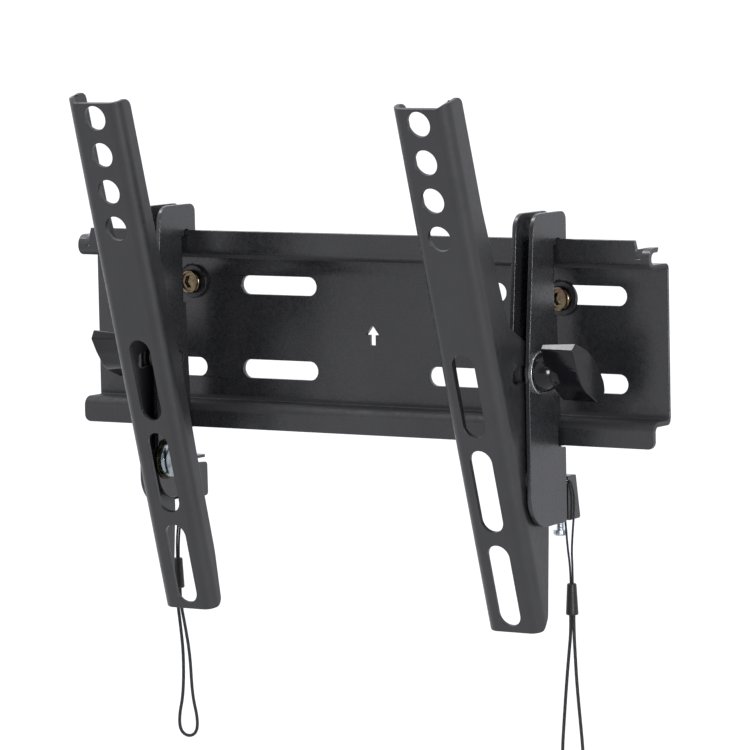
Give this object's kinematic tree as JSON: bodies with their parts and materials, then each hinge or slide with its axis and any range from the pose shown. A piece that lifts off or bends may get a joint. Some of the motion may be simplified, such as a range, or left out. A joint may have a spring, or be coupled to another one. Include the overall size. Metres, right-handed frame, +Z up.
{
  "type": "tilting tv wall bracket",
  "caption": "Flat-screen wall bracket: slotted wall plate with hook-on tilting channel arms, wing knobs that clamp the tilt and corded spring safety catches.",
  "frame": {"origin": "centre of the wall plate's slots, on the back of its web, where it meets the wall", "axes": "+X to the right along the wall plate, +Y into the wall, +Z up"},
  "size_m": [0.2858, 0.0931, 0.2819],
  "materials": {
    "powder_black": "fine-textured satin black powder coat",
    "dark_steel": "thin black coat on stamped steel",
    "gloss_black": "glossy moulded black plastic",
    "zinc": "bright zinc plated steel",
    "yellow_zinc": "yellow passivated zinc plated steel",
    "black_zinc": "black plated steel",
    "nylon": "black nylon washer",
    "cord": "black braided cord",
    "bead": "matt black moulded bead"
  },
  "bodies": {
    "plate": {"wall_plate": "powder_black", "wall_bolts": "yellow_zinc", "wall_washers": "black_zinc"},
    "bracket_right": {"hook_right": "powder_black", "stud_nut_right": "black_zinc", "pivot_bolt_right": "zinc", "pivot_washer_right": "yellow_zinc", "knob_washer_right": "zinc", "pivot_spacers_right": "nylon", "clamp_discs_right": "nylon", "guide_pin_right": "zinc", "catch_spring_right": "zinc"},
    "tilt_arm_right": {"arm_right": "powder_black"},
    "wing_knob_right": {"knob_right": "gloss_black", "knob_stud_right": "zinc"},
    "safety_catch_right": {"catch_right": "dark_steel", "bead_right": "bead", "cord_right": "cord", "pull_right": "cord"},
    "screw_right": {"lock_screw_right": "zinc"},
    "bracket_left": {"hook_left": "powder_black", "stud_nut_left": "black_zinc", "pivot_bolt_left": "zinc", "pivot_washer_left": "yellow_zinc", "knob_washer_left": "zinc", "pivot_spacers_left": "nylon", "clamp_discs_left": "nylon", "guide_pin_left": "zinc", "catch_spring_left": "zinc"},
    "tilt_arm_left": {"arm_left": "powder_black"},
    "wing_knob_left": {"knob_left": "gloss_black", "knob_stud_left": "zinc"},
    "safety_catch_left": {"catch_left": "dark_steel", "bead_left": "bead", "cord_left": "cord", "pull_left": "cord"},
    "screw_left": {"lock_screw_left": "zinc"}
  },
  "joints": [
    {"name": "slide_right", "type": "slide", "parent": "plate", "child": "bracket_right", "axis": [1, 0, 0], "range_m": [-0.06, 0.036]},
    {"name": "tilt_right", "type": "hinge", "parent": "bracket_right", "child": "tilt_arm_right", "pos_m": [0.09465, -0.033, -0.0546], "axis": [1, 0, 0], "range_deg": [-15.8, 0.7]},
    {"name": "knob_turn_right", "type": "hinge", "parent": "bracket_right", "child": "wing_knob_right", "pos_m": [0.09465, -0.0308, -0.0111], "axis": [1, 0, 0], "continuous": true},
    {"name": "catch_slide_right", "type": "slide", "parent": "bracket_right", "child": "safety_catch_right", "axis": [0, 0, 1], "range_m": [-0.0064, 0], "stiffness_N_per_m": 300, "springref_m": 0.006, "deforming": ["catch_spring_right"]},
    {"name": "lock_turn_right", "type": "hinge", "parent": "bracket_right", "child": "screw_right", "pos_m": [0.09465, -0.0082, -0.075], "axis": [0, 0, 1], "continuous": true},
    {"name": "slide_left", "type": "slide", "parent": "plate", "child": "bracket_left", "axis": [1, 0, 0], "range_m": [-0.036, 0.06]},
    {"name": "tilt_left", "type": "hinge", "parent": "bracket_left", "child": "tilt_arm_left", "pos_m": [-0.09075, -0.033, -0.0546], "axis": [1, 0, 0], "range_deg": [-14.5, 2]},
    {"name": "knob_turn_left", "type": "hinge", "parent": "bracket_left", "child": "wing_knob_left", "pos_m": [-0.09075, -0.0308, -0.0111], "axis": [1, 0, 0], "continuous": true},
    {"name": "catch_slide_left", "type": "slide", "parent": "bracket_left", "child": "safety_catch_left", "axis": [0, 0, 1], "range_m": [-0.0064, 0], "stiffness_N_per_m": 300, "springref_m": 0.006, "deforming": ["catch_spring_left"]},
    {"name": "lock_turn_left", "type": "hinge", "parent": "bracket_left", "child": "screw_left", "pos_m": [-0.09075, -0.0082, -0.075], "axis": [0, 0, 1], "continuous": true}
  ]
}
